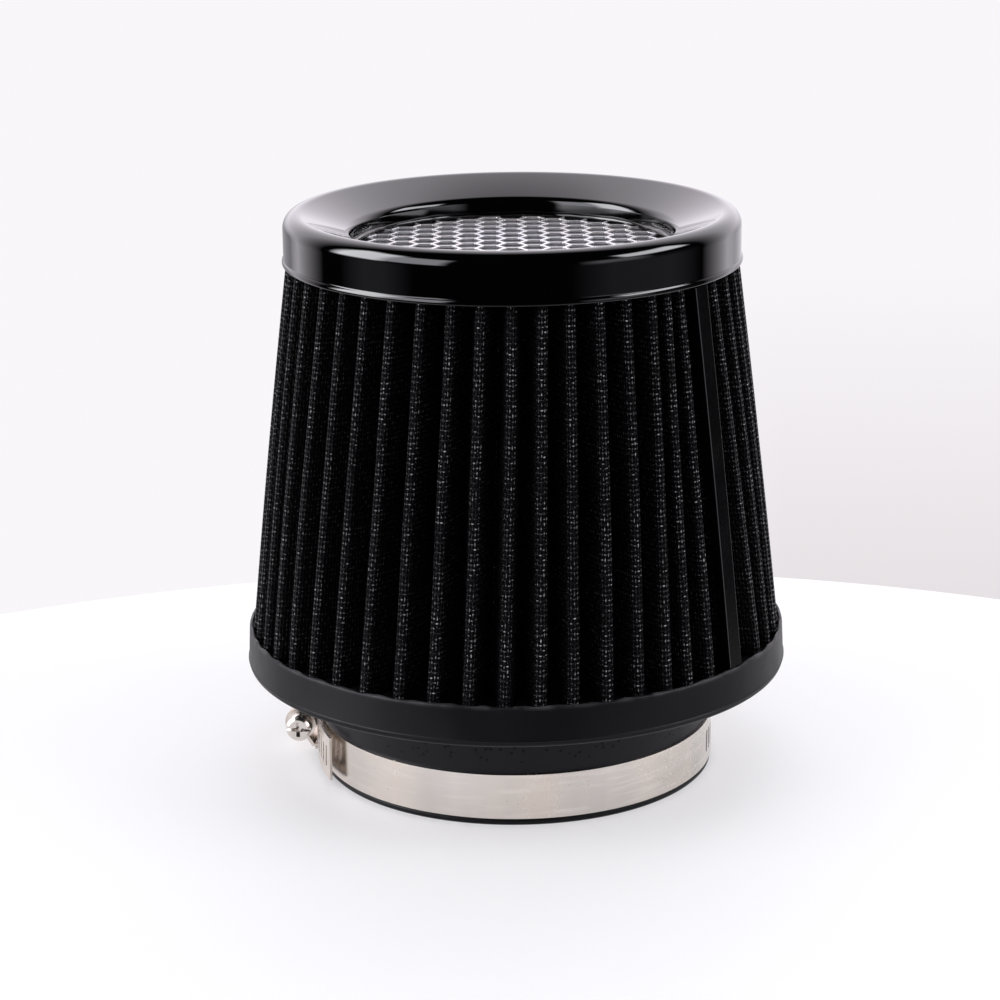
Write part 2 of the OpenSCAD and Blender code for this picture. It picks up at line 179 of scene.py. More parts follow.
class AirFilterFinish(PropertyGroup):
    """Colours of the surfaces"""

    rubber: colour("Rubber", (0.0036, 0.0037, 0.0045), "Moulded base and neck")
    # Painted highlight along the rim's top edge, where the rounded edge catches the light
    lip: colour("Lip", (0.050, 0.050, 0.055), "Painted highlight along the rim's edge against the pleats")
    wire: colour("Coated wire", (0.0052, 0.0052, 0.0062), "Black wire screen")
    # Painted highlight: bright glints painted into the wire colour on the crossings along the outer
    # folds
    glint: colour("Wire glint", (0.80, 0.80, 0.84), "Crossings of the wires along the outer folds")
    cotton: colour("Cotton", (0.0008, 0.0008, 0.0010), "Oiled cotton behind the screen")
    strip: colour("Strip", (0.0012, 0.0012, 0.0014), "Face of the seam strip")
    # Painted highlight along both edges of the seam strip
    strip_edge: colour("Strip edge", (0.068, 0.068, 0.074), "Painted highlights along the edges of the seam strip")
    gloss: colour("Gloss black", (0.0006, 0.0006, 0.0008), "Cap")
    grille: colour("Grille", (0.70, 0.70, 0.73), "Honeycomb grille")
    gauze: colour("Gauze", (0.145, 0.145, 0.16), "Fine screen under the grille")
    steel: colour("Band steel", (0.70, 0.652, 0.61), "Clamp band, saddle and housing")
    plating: colour("Plating", (0.72, 0.69, 0.665), "Worm screw")
    table: colour("Table", (0.59, 0.59, 0.60), "Table top")
    sheen: colour("Table sheen", (0.42, 0.415, 0.43), "Light that the table top adds of itself")
    wall_tone: colour("Backdrop", (0.95, 0.925, 0.95), "Plain wall behind the table")
    # Painted shade: the backdrop darker low down on the right
    wall_low: colour("Low backdrop", (0.80, 0.76, 0.78), "The same low down on the right")


class AirFilterStage(PropertyGroup):
    """Table, light and camera"""

    focal: FloatProperty(
        name="Focal length", description="Lens in millimetres on a 36 mm sensor", default=101.95
    )
    camera: FloatVectorProperty(
        name="Camera", description="Place of the camera", default=(-0.0041, -0.7676, 0.3012),
        subtype="TRANSLATION",
    )
    target: FloatVectorProperty(
        name="Target", description="Point that the camera looks at", default=(-0.00413, 0.0, 0.07571),
        subtype="TRANSLATION",
    )
    roll: angle("Roll", -0.63, "Turn of the camera round its line of sight")
    table_radius: length("Table radius", 368.0, "Radius of the round table top")
    table_back: length("Table edge", 171.0, "Distance of the table's far edge behind the filter")


GROUPS = {
    "airfilter_pleats": AirFilterPleats,
    "airfilter_weave": AirFilterWeave,
    "airfilter_base": AirFilterBase,
    "airfilter_cap": AirFilterCap,
    "airfilter_finish": AirFilterFinish,
    "airfilter_stage": AirFilterStage,
}


# Panes of the room in reflections: azimuths from the front towards the right, heights and soft edge, in
# degrees, and radiance
PANES = (
    ((-72.0, -38.0), (8.0, 40.0), 6.0, (4.2, 4.2, 4.5)),
    ((-94.0, -72.0), (6.0, 42.0), 8.0, (11.0, 11.0, 11.5)),
    ((62.0, 100.0), (27.0, 40.0), 5.0, (9.0, 9.0, 9.4)),
    ((44.0, 62.0), (6.0, 14.0), 12.0, (1.5, 1.5, 1.6)),
    ((-78.0, -66.0), (-20.0, -12.0), 16.0, (0.26, 0.26, 0.29)),
    ((50.0, 84.0), (-22.0, -8.0), 22.0, (0.2, 0.2, 0.22)),
    ((-180.0, -146.0), (-40.0, -6.0), 12.0, (0.56, 0.54, 0.58)),
    ((146.0, 180.0), (-40.0, -6.0), 12.0, (1.05, 1.0, 1.08)),
)

# Lamps: place and size in metres, and watts; all of them aim at one point
LAMP_AIM = Vector((0.0, 0.0, 0.09))
LAMPS = (
    ("window_left", (-1.05, -0.42, 0.98), (1.15, 0.6), 3.5),
    ("window_right", (1.05, -0.3, 0.9), (0.8, 0.6), 4.0),
    ("window_back", (0.1, 0.9, 1.2), (1.4, 0.7), 4.4),
)


# Shapes
def plan(azimuth, radius, z=0.0):
    """Point at an azimuth that is counted from the front towards the right."""
    return Vector((radius * math.sin(azimuth), -radius * math.cos(azimuth), z))


def smooth(x):
    """Soft step from 0 to 1."""
    x = min(1.0, max(0.0, x))
    return x * x * (3.0 - 2.0 * x)


def blend(a, b, share):
    return a + (b - a) * share


def make_piece(name, bm, material, replaces=(), body=FILTER, *, sharp):
    """Turns a bmesh into a named piece that rides on a body of the frame."""
    mesh = bpy.data.meshes.new(name)
    bm.to_mesh(mesh)
    bm.free()
    mesh.materials.append(material)
    mesh.shade_smooth()
    mesh.set_sharp_from_angle(angle=math.radians(sharp))
    piece = bpy.data.objects.new(name, mesh)
    bpy.context.scene.collection.objects.link(piece)
    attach(piece, body)
    if replaces:
        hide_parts(*replaces)
    return piece


def spin_profile(points, steps):
    """Ring made by spinning a closed line of (radius, height) points once round the filter's axis."""
    bm = bmesh.new()
    verts = [bm.verts.new((0.0, -r, z)) for r, z in points]
    edges = [bm.edges.new(pair) for pair in zip(verts, verts[1:] + verts[:1])]
    bmesh.ops.spin(
        bm, geom=verts + edges, cent=(0, 0, 0), axis=(0, 0, 1), angle=math.tau, steps=steps,
        use_merge=True, use_normal_flip=False,
    )
    bmesh.ops.recalc_face_normals(bm, faces=bm.faces)
    return bm


def loft(bm, rows):
    """Skin drawn through rows of points; the rows are closed lines with the same number of points."""
    ring = [bm.verts.new(point) for point in rows[0]]
    edges = [bm.edges.new(pair) for pair in zip(ring, ring[1:] + ring[:1])]
    rings = [ring]
    for row in rows[1:]:
        column = {vert: k for k, vert in enumerate(rings[-1])}
        grown = bmesh.ops.extrude_edge_only(bm, edges=edges)["geom"]
        ring = [None] * len(row)
        for vert in (g for g in grown if isinstance(g, bmesh.types.BMVert)):
            near = (edge.other_vert(vert) for edge in vert.link_edges)
            k = next(column[other] for other in near if other in column)
            vert.co = row[k]
            ring[k] = vert
        edges = [g for g in grown if isinstance(g, bmesh.types.BMEdge)]
        rings.append(ring)
    return rings


def lay_map(bm, rings, across, along):
    """Own texture map of a lofted skin, from a value for each point of a row and one for each row."""
    uv = bm.loops.layers.uv.new("weave")
    count = len(rings[0])
    where = {vert: (k, row) for row, ring in enumerate(rings) for k, vert in enumerate(ring)}
    for face in bm.faces:
        marks = [where[loop.vert] for loop in face.loops]
        wraps = len(marks) == 4 and max(k for k, _ in marks) - min(k for k, _ in marks) > count // 2
        for loop, (k, row) in zip(face.loops, marks):
            loop[uv].uv = (across[count] if wraps and k == 0 else across[k], along[row])


def arc(centre, radius, start, end, steps):
    """Points of an arc in a profile, angles in degrees."""
    turns = [math.radians(blend(start, end, i / steps)) for i in range(steps + 1)]
    return [(centre[0] + radius * math.cos(a), centre[1] + radius * math.sin(a)) for a in turns]


def soften(piece, width, segments, sharp):
    """Rounds the edges of a piece that turn by more than an angle in degrees."""
    soft = piece.modifiers.new("soft_edges", "BEVEL")
    soft.width = width
    soft.segments = segments
    soft.limit_method = "ANGLE"
    soft.angle_limit = math.radians(sharp)
    soft.harden_normals = True


def dressed_copy(node, name, material, bevel, body=FILTER, join=True):
    """Copy of a node with its doubles merged and its edges softened; join also joins its flat faces."""
    bm = bmesh.new()
    bm.from_mesh(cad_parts[node].data)
    bmesh.ops.remove_doubles(bm, verts=bm.verts, dist=2e-6)
    if join:
        bmesh.ops.dissolve_limit(
            bm, angle_limit=math.radians(0.6), verts=bm.verts, edges=bm.edges, delimit={"NORMAL"}
        )
    piece = make_piece(name, bm, material, [node], body, sharp=PLATE_SHARP)
    soften(piece, bevel, 2, PLATE_SHARP)


# Pleats
def crowding(sizes, before, t):
    """Share of the gather at an angle before the seam and a share t of the height."""
    rise = smooth((before - blend(sizes.start_foot, sizes.start_top, t)) / sizes.crowd_rise)
    return rise * (1.0 - smooth((before - sizes.crowd_end) / blend(sizes.fall_foot, sizes.fall_top, t)))


def seam_azimuth(sizes, t):
    return sizes.seam + sizes.strip_lean * (t - 0.5)


def ridge_azimuths(sizes, t):
    """Azimuth of every outer fold, counted from the seam, at a share t of the height."""
    rng = random.Random(7)
    step = math.tau / sizes.count
    gather = blend(sizes.gather_foot, sizes.gather_top, t)
    spread = blend(sizes.spread_foot, sizes.spread_top, t)
    out = []
    for i in range(sizes.count):
        jitter = rng.uniform(-1.0, 1.0) * sizes.uneven
        fade = 1.0 - smooth((i * step - sizes.crowd_rise) / sizes.crowd_end)
        shift = gather * crowding(sizes, math.tau - i * step, t) + spread * fade
        out.append(seam_azimuth(sizes, t) + i * step + (shift + jitter if i else 0.0))
    return out


def fold_line(sizes, inset):
    """Closed line of one skin of the pack: (fold, is valley, across, out, crown), at the foot."""
    outer = sizes.fold / 2
    wall = 2 * sizes.screen + sizes.cotton
    inner = wall + FOLD_BEND * MM
    rng = random.Random(11)
    line = []
    for i in range(sizes.count):
        proud = rng.uniform(*FOLD_STEP) * MM if i else 0.0
        for turn in range(-90, 91, 30):
            t = math.radians(turn)
            out = sizes.foot + proud - outer + (outer - inset) * math.cos(t)
            line.append((i, False, (outer - inset) * math.sin(t), out, math.cos(t)))
        for turn in range(-90, 91, 45):
            t = math.radians(turn)
            out = sizes.foot - sizes.depth + inner - (inner - wall + inset) * math.cos(t)
            line.append((i, True, (inner - wall + inset) * math.sin(t), out, 0.0))
    return line


def skin_rows(sizes, inset):
    """Rows of points of one skin of the pack, from the foot to the top."""
    line = fold_line(sizes, inset)
    out = []
    for row in range(PACK_ROWS + 1):
        t = row / PACK_ROWS
        ridges = ridge_azimuths(sizes, t)
        ridges.append(ridges[0] + math.tau)
        grow = blend(1.0, pack_scale(sizes), t)
        belly = sizes.belly * math.sin(math.pi * t)
        points = []
        for fold, is_valley, across, reach, _ in line:
            azimuth = ridges[fold]
            if is_valley:
                azimuth = (azimuth + ridges[fold + 1]) / 2
            wander = FOLD_WANDER * MM * noise.noise(Vector((fold * 1.7, t * 3.1, 4.2)))
            radius = math.hypot(across, reach)
            points.append(plan(
                azimuth + math.atan2(across, reach) + wander / radius,
                radius * grow + belly * radius / sizes.foot,
                blend(SCREEN_LOW.z, SCREEN_HIGH.z, t),
            ))
        out.append(points)
    return out


def pleat_layer(sizes, outer_inset, inner_inset):
    """Closed shell between two skins of the pack, with its own map and the crowns of its folds."""
    outer = skin_rows(sizes, outer_inset)
    inner = skin_rows(sizes, inner_inset)
    bm = bmesh.new()
    crown = bm.verts.layers.float.new("crown")
    rings = loft(bm, outer + inner[::-1] + outer[:1])
    for ring in rings:
        for vert, (_, _, _, _, height) in zip(ring, fold_line(sizes, outer_inset)):
            vert[crown] = height
    run = [0.0]
    for a, b in zip(outer[0], outer[0][1:] + outer[0][:1]):
        run.append(run[-1] + (b - a).length)
    rise = [row * (SCREEN_HIGH.z - SCREEN_LOW.z) / PACK_ROWS for row in range(PACK_ROWS + 1)]
    lay_map(bm, rings, run, rise + rise[::-1] + rise[:1])
    bmesh.ops.remove_doubles(bm, verts=rings[0] + rings[-1], dist=1e-7)
    bmesh.ops.recalc_face_normals(bm, faces=bm.faces)
    return bm


def pack_scale(sizes):
    """How much narrower the pack is at its top than at its foot, so that it fits into the cap."""
    cap_mouth = CAP_HIGH.x - CAP_WALL * MM - CAP_GAP * MM
    slope = (sizes.foot - cap_mouth) / (CAP_LOW.z - SCREEN_LOW.z)
    return (sizes.foot - slope * (SCREEN_HIGH.z - SCREEN_LOW.z)) / sizes.foot


def fold_phase(sizes, azimuth, ridges):
    """1 at an outer fold and 0 half way to the next."""
    near = min(abs((azimuth - r + math.pi) % math.tau - math.pi) for r in ridges)
    return max(0.0, 1.0 - near * sizes.count / math.pi)


# Materials
def socket(group, name, kind, io, value=None):
    made = group.interface.new_socket(name=name, in_out=io, socket_type=kind)
    if value is not None:
        made.default_value = value


class Nodes:
    """Short calls for the nodes of one tree."""

    def __init__(self, tree):
        self.tree = tree

    def add(self, kind, **values):
        node = self.tree.nodes.new(kind)
        for key, value in values.items():
            setattr(node, key, value)
        return node

    def put(self, value, target):
        if hasattr(value, "is_output"):
            self.tree.links.new(value, target)
        else:
            target.default_value = value

    def math(self, operation, *values):
        node = self.add("ShaderNodeMath", operation=operation)
        for value, target in zip(values, node.inputs):
            self.put(value, target)
        return node.outputs[0]

    def mix(self, factor, a, b):
        node = self.add("ShaderNodeMix", data_type="RGBA")
        self.put(factor, node.inputs["Factor"])
        for value, target in ((a, node.inputs[6]), (b, node.inputs[7])):
            self.put(value + (1.0,) if isinstance(value, tuple) and len(value) == 3 else value, target)
        return node.outputs[2]

    def noise(self, vector, scale, detail=2.0, rough=0.5):
        node = self.add("ShaderNodeTexNoise")
        settings = {"Vector": vector, "Scale": scale, "Detail": detail, "Roughness": rough}
        for key, value in settings.items():
            self.put(value, node.inputs[key])
        return node.outputs["Fac"]

    def remap(self, value, a, b, c, d):
        node = self.add("ShaderNodeMapRange", clamp=True)
        ends = {"Value": value, "From Min": a, "From Max": b, "To Min": c, "To Max": d}
        for key, number in ends.items():
            self.put(number, node.inputs[key])
        return node.outputs["Result"]

    def within(self, value, low, high, edge):
        """1 between two ends and 0 outside them, with soft edges."""
        rise = self.remap(value, low - edge, low, 0.0, 1.0)
        return self.math("MULTIPLY", rise, self.remap(value, high, high + edge, 1.0, 0.0))

    def split(self, vector):
        node = self.add("ShaderNodeSeparateXYZ")
        self.put(vector, node.inputs[0])
        return node.outputs

    def bump(self, height, distance, strength=1.0, normal=None):
        node = self.add("ShaderNodeBump")
        node.inputs["Strength"].default_value = strength
        node.inputs["Distance"].default_value = distance
        self.put(height, node.inputs["Height"])
        if normal is not None:
            self.put(normal, node.inputs["Normal"])
        return node.outputs["Normal"]

    def group(self, tree, **values):
        node = self.add("ShaderNodeGroup", node_tree=tree)
        for key, value in values.items():
            self.put(value, node.inputs[key.replace("_", " ")])
        return node.outputs

    def place(self):
        return self.add("ShaderNodeTexCoord").outputs["Object"]

    def map(self):
        return self.add("ShaderNodeUVMap", uv_map="weave").outputs["UV"]


def new_material(name, **shader):
    """Material with a Principled shader, and the constant values set on the shader itself."""
    material = bpy.data.materials.new(name)
    material.use_nodes = True
    tree = material.node_tree
    bsdf = next(n for n in tree.nodes if n.type == "BSDF_PRINCIPLED")
    for key, value in shader.items():
        target = bsdf.inputs[key.replace("_", " ")]
        target.default_value = tuple(value) + (1.0,) if target.type == "RGBA" else value
    return material, Nodes(tree), bsdf


def woven_wire_group():
    """Plain weave on a plane: height, wire mask and the crowns where one wire passes over the other."""
    tree = bpy.data.node_groups.new("woven_wire", "ShaderNodeTree")
    socket(tree, "Place", "NodeSocketVector", "INPUT")
    socket(tree, "Across", "NodeSocketFloat", "INPUT", 0.0012)
    socket(tree, "Along", "NodeSocketFloat", "INPUT", 0.00145)
    socket(tree, "Wire", "NodeSocketFloat", "INPUT", 0.42)
    for name in ("Height", "Mask", "Crown"):
        socket(tree, name, "NodeSocketFloat", "OUTPUT")
    n = Nodes(tree)
    inp = n.add("NodeGroupInput").outputs
    out = n.add("NodeGroupOutput").inputs
    place = n.split(inp["Place"])
    sway = n.math("MULTIPLY", n.math("SUBTRACT", n.noise(inp["Place"], 260.0), 0.5), 0.55)
    u = n.math("ADD", n.math("DIVIDE", place["X"], inp["Across"]), sway)
    v = n.math("ADD", n.math("DIVIDE", place["Y"], inp["Along"]), sway)
    waves = [n.math("COSINE", n.math("MULTIPLY", coordinate, math.pi)) for coordinate in (u, v)]
    wave = n.math("MULTIPLY", *waves)
    lift = []
    masks = []
    for coordinate, sign in ((u, 1.0), (v, -1.0)):
        part = n.math("FRACT", n.math("ADD", coordinate, 0.5))
        off = n.math("ABSOLUTE", n.math("SUBTRACT", part, 0.5))
        near = n.math("DIVIDE", off, n.math("MULTIPLY", inp["Wire"], 0.5))
        round_off = n.math("SUBTRACT", 1.0, n.math("MULTIPLY", near, near))
        body = n.math("SQRT", n.math("MAXIMUM", round_off, 0.0))
        mask = n.math("LESS_THAN", near, 1.0)
        up = n.math("MULTIPLY", n.math("MULTIPLY", wave, sign), 0.45)
        lift.append(n.math("MULTIPLY", n.math("ADD", n.math("ADD", body, up), 0.6), mask))
        masks.append(mask)
    height = n.math("MAXIMUM", lift[0], lift[1])
    n.put(height, out["Height"])
    n.put(n.math("MAXIMUM", masks[0], masks[1]), out["Mask"])
    n.put(n.remap(height, 1.62, 2.0, 0.0, 1.0), out["Crown"])
    return tree


def fine_wear_group():
    """Faint smudges and fine scratches: a roughness and a height."""
    tree = bpy.data.node_groups.new("fine_wear", "ShaderNodeTree")
    socket(tree, "Place", "NodeSocketVector", "INPUT")
    socket(tree, "Rough low", "NodeSocketFloat", "INPUT", 0.1)
    socket(tree, "Rough high", "NodeSocketFloat", "INPUT", 0.2)
    socket(tree, "Smudge", "NodeSocketFloat", "INPUT", 40.0)
    socket(tree, "Roughness", "NodeSocketFloat", "OUTPUT")
    socket(tree, "Height", "NodeSocketFloat", "OUTPUT")
    n = Nodes(tree)
    inp = n.add("NodeGroupInput").outputs
    out = n.add("NodeGroupOutput").inputs
    smudge = n.noise(inp["Place"], inp["Smudge"], 4.0)
    fine = n.noise(inp["Place"], 900.0, 3.0)
    level = n.math("ADD", n.math("MULTIPLY", smudge, 0.8), n.math("MULTIPLY", fine, 0.2))
    n.put(n.remap(level, 0.3, 0.7, inp["Rough low"], inp["Rough high"]), out["Roughness"])
    n.put(fine, out["Height"])
    return tree


def screen_material(finish, weave, groups):
    """Coated wire cloth, dark between the wires, with painted highlights glinting on the wire crossings
    along the outer folds and painted shade on the fold walls and in the valleys.
    """
    material, n, bsdf = new_material("coated_wire_cloth", Specular_IOR_Level=0.06)
    uv = n.map()
    wire = n.group(groups["weave"], Place=uv, Across=weave.across, Along=weave.along)
    fold = n.add("ShaderNodeAttribute", attribute_name="crown").outputs["Fac"]
    # Painted light across each fold: full on the outer crown, low on the fold walls and in the valleys
    fold_light = n.remap(fold, 0.35, 0.95, 0.11, 1.0)
    speck = n.remap(n.noise(uv, 950.0, 1.0), 0.47, 0.68, 0.0, 1.0)
    patch = n.remap(n.noise(uv, 120.0, 2.0), 0.35, 0.7, 0.2, 1.0)
    # Painted highlight: glints on the crowns of the wire crossings, broken up at random, only along the
    # outer folds
    glint = n.math("MULTIPLY", wire["Crown"], speck)
    glint = n.math("MULTIPLY", glint, n.math("MULTIPLY", patch, fold_light))
    # Painted shade: on the fold walls and in the valleys the wires take the darker cotton colour
    tone = n.mix(fold_light, tuple(finish.cotton), tuple(finish.wire))
    tone = n.mix(wire["Mask"], tuple(finish.cotton), tone)
    n.put(n.mix(glint, tone, tuple(finish.glint)), bsdf.inputs["Base Color"])
    n.put(n.remap(wire["Mask"], 0.0, 1.0, 0.9, 0.3), bsdf.inputs["Roughness"])
    n.put(n.bump(wire["Height"], 0.0002), bsdf.inputs["Normal"])
    return material


def rubber_material(finish, groups):
    """Moulded polyurethane: satin, slightly cloudy, paler on the neck, with pinholes under the rim
    painted black as painted shade, and a painted highlight along the rim's top edge.
    """
    base = tuple(finish.rubber)
    material, n, bsdf = new_material("moulded_rubber", Specular_IOR_Level=0.15)
    place = n.place()
    cloud = n.noise(place, 60.0, 5.0, 0.6)
    wear = n.group(groups["wear"], Place=place, Rough_low=0.34, Rough_high=0.5, Smudge=55.0)
    cells = n.add("ShaderNodeTexVoronoi", feature="F1", distance="EUCLIDEAN")
    n.put(place, cells.inputs["Vector"])
    cells.inputs["Scale"].default_value = 520.0
    height = n.split(place)["Z"]
    low, high = (z * MM for z in PINHOLES)
    band = n.math("MULTIPLY", n.math("GREATER_THAN", height, low), n.math("LESS_THAN", height, high))
    patch = n.math("GREATER_THAN", n.noise(place, 42.0, 1.0), 0.38)
    dot = n.math("LESS_THAN", cells.outputs["Distance"], 0.25)
    hole = n.math("MULTIPLY", dot, n.math("MULTIPLY", patch, band))
    tone = n.mix(n.remap(cloud, 0.3, 0.7, 0.0, 1.0), base, tuple(c * 1.5 for c in base))
    bloom = n.remap(height, *(z * MM for z in BLOOM_UPPER), 1.0, 0.0)
    bloom = n.math("MULTIPLY", bloom, n.remap(height, *(z * MM for z in BLOOM_LOWER), 0.0, 1.0))
    tone = n.mix(bloom, tone, tuple(c * 4.0 for c in base))
    # Painted highlight: a paler wavy line along the rim's top edge, where the rounded edge catches the
    # light
    near_top = n.remap(height, BASE_HIGH.z - 1.1 * MM, BASE_HIGH.z - 0.2 * MM, 0.0, 1.0)
    near_top = n.math("MULTIPLY", near_top, n.math("LESS_THAN", height, BASE_HIGH.z + MM))
    edge_highlight = n.math("MULTIPLY", near_top, n.remap(n.noise(place, 150.0, 3.0), 0.4, 0.62, 0.15, 1.0))
    tone = n.mix(edge_highlight, tone, tuple(finish.lip))
    # Painted shade: the pinholes are painted black for the shade inside them, with a bump dent under
    # each
    n.put(n.mix(hole, tone, (0.0, 0.0, 0.0)), bsdf.inputs["Base Color"])
    n.put(wear["Roughness"], bsdf.inputs["Roughness"])
    dents = n.bump(n.math("MULTIPLY", hole, -1.0), 0.0008)
    n.put(n.bump(cloud, 0.00012, 0.6, dents), bsdf.inputs["Normal"])
    return material


def gloss_material(finish, groups):
    """High gloss black plastic with faint moulding ripple and smudges."""
    material, n, bsdf = new_material("gloss_black", Base_Color=tuple(finish.gloss), IOR=1.52)
    place = n.place()
    wear = n.group(groups["wear"], Place=place, Rough_low=0.03, Rough_high=0.09, Smudge=30.0)
    n.put(wear["Roughness"], bsdf.inputs["Roughness"])
    n.put(n.bump(n.noise(place, 26.0, 1.0), 0.00025, 0.35), bsdf.inputs["Normal"])
    return material


def metal_material(name, tint, groups, low, high, smudge, streak=None, metallic=1.0):
    """Bright metal with smudged roughness and a slight uneven tint."""
    material, n, bsdf = new_material(name, Metallic=metallic)
    place = n.place()
    wear = n.group(groups["wear"], Place=place, Rough_low=low, Rough_high=high, Smudge=smudge)
    cloud = n.noise(place, 34.0, 3.0)
    warm = tuple(min(1.0, c * k) for c, k in zip(tint, (1.03, 0.985, 0.94)))
    tone = n.mix(n.remap(cloud, 0.35, 0.65, 0.0, 1.0), tuple(tint), warm)
    height = wear["Height"]
    if streak:
        rolled, upright = (n.add("ShaderNodeMapping") for _ in range(2))
        for stretch, scale in ((rolled, (1.0, 1.0, streak)), (upright, (1.0, 1.0, 1.0 / streak))):
            n.put(place, stretch.inputs["Vector"])
            stretch.inputs["Scale"].default_value = scale
        height = n.noise(rolled.outputs["Vector"], 260.0, 2.0)
        zone = n.remap(n.noise(upright.outputs["Vector"], 48.0, 3.0), 0.4, 0.62, 0.0, 1.0)
        tone = n.mix(zone, tone, tuple(c * 0.9 for c in tint))
        line = n.remap(n.noise(rolled.outputs["Vector"], 60.0, 4.0), 0.52, 0.7, 0.0, 0.5)
        tone = n.mix(line, tone, tuple(min(1.0, c * 1.16) for c in tint))
    n.put(tone, bsdf.inputs["Base Color"])
    n.put(wear["Roughness"], bsdf.inputs["Roughness"])
    n.put(n.bump(height, 0.00002, 0.5), bsdf.inputs["Normal"])
    return material


def gauze_material(finish, weave, groups):
    """Fine grey wire cloth, woven in the plane of the cap."""
    material, n, bsdf = new_material("fine_gauze", Metallic=0.2)
    place = n.place()
    wire = n.group(groups["weave"], Place=place, Across=weave.gauze, Along=weave.gauze, Wire=0.55)
    tint = tuple(finish.gauze)
    tone = n.mix(n.noise(place, 700.0, 2.0), tint, tuple(min(1.0, c * 1.9) for c in tint))
    n.put(n.mix(wire["Mask"], (0.012, 0.012, 0.013), tone), bsdf.inputs["Base Color"])
    n.put(n.remap(wire["Mask"], 0.0, 1.0, 0.9, 0.42), bsdf.inputs["Roughness"])
    n.put(n.bump(wire["Height"], 0.00012), bsdf.inputs["Normal"])
    return material


def cloth_material(finish):
    """Oiled cotton: matt, dark and fibrous."""
    material, n, bsdf = new_material("oiled_cotton", Sheen_Weight=0.1)
    fibre = n.noise(n.place(), 1600.0, 4.0, 0.7)
    tint = tuple(finish.cotton)
    n.put(n.mix(fibre, tint, tuple(c * 6.0 for c in tint)), bsdf.inputs["Base Color"])
    n.put(n.remap(fibre, 0.2, 0.8, 0.75, 0.95), bsdf.inputs["Roughness"])
    n.put(n.bump(fibre, 0.00015), bsdf.inputs["Normal"])
    return material


def strip_material(finish, groups, half, edge_highlight):
    """Black strip with a thin painted highlight along each edge."""
    material, n, bsdf = new_material("strip_black", Specular_IOR_Level=0.04)
    # Painted highlight: a thin paler line along each edge of the strip's face
    across = n.math("ABSOLUTE", n.split(n.map())["X"])
    rise = n.remap(across, half - edge_highlight, half - 0.6 * edge_highlight, 0.0, 1.0)
    edge = n.math("MULTIPLY", rise, n.remap(across, half, half + 0.5 * edge_highlight, 1.0, 0.0))
    n.put(n.mix(edge, tuple(finish.strip), tuple(finish.strip_edge)), bsdf.inputs["Base Color"])
    wear = n.group(groups["wear"], Place=n.place(), Rough_low=0.2, Rough_high=0.3, Smudge=70.0)
    n.put(wear["Roughness"], bsdf.inputs["Roughness"])
    n.put(n.bump(wear["Height"], 0.00003), bsdf.inputs["Normal"])
    return material


KEPT = {}


def shared(name, make, *values):
    """An effect or material by name, built when it is first asked for."""
    if name not in KEPT:
        KEPT[name] = make(*values)
    return KEPT[name]


def shader_groups():
    return {"weave": shared("weave", woven_wire_group), "wear": shared("wear", fine_wear_group)}


def dress(node, material):
    """Gives a node's own mesh a material."""
    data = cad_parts[node].data
    data.materials.clear()
    data.materials.append(material)


# Pieces
class AIRFILTER_OT_pleats(Operator):
    """Pleated pack: outer screen, cotton and inner screen"""

    bl_idname = "airfilter.pleats"
    bl_label = "Pleated pack"

    def execute(self, context):
        scene = context.scene
        sizes = scene.airfilter_pleats
        groups = shader_groups()
        wire = shared("wire", screen_material, scene.airfilter_finish, scene.airfilter_weave, groups)
        cotton = shared("cotton", cloth_material, scene.airfilter_finish)
        cotton_in = sizes.screen + sizes.cotton
        whole = cotton_in + sizes.screen
        layers = (
            ("pleated_screen", 0.0, sizes.screen, wire, "black_mesh", "outer_screen"),
            ("pleated_cotton", sizes.screen, cotton_in, cotton, "cotton", "filter_media"),
            ("pleated_inner_screen", cotton_in, whole, wire, "black_mesh", "inner_screen"),
        )
        for name, outside, inside, material, slot, node in layers:
            make_piece(name, pleat_layer(sizes, outside, inside), material, [node], sharp=80)
        return {"FINISHED"}


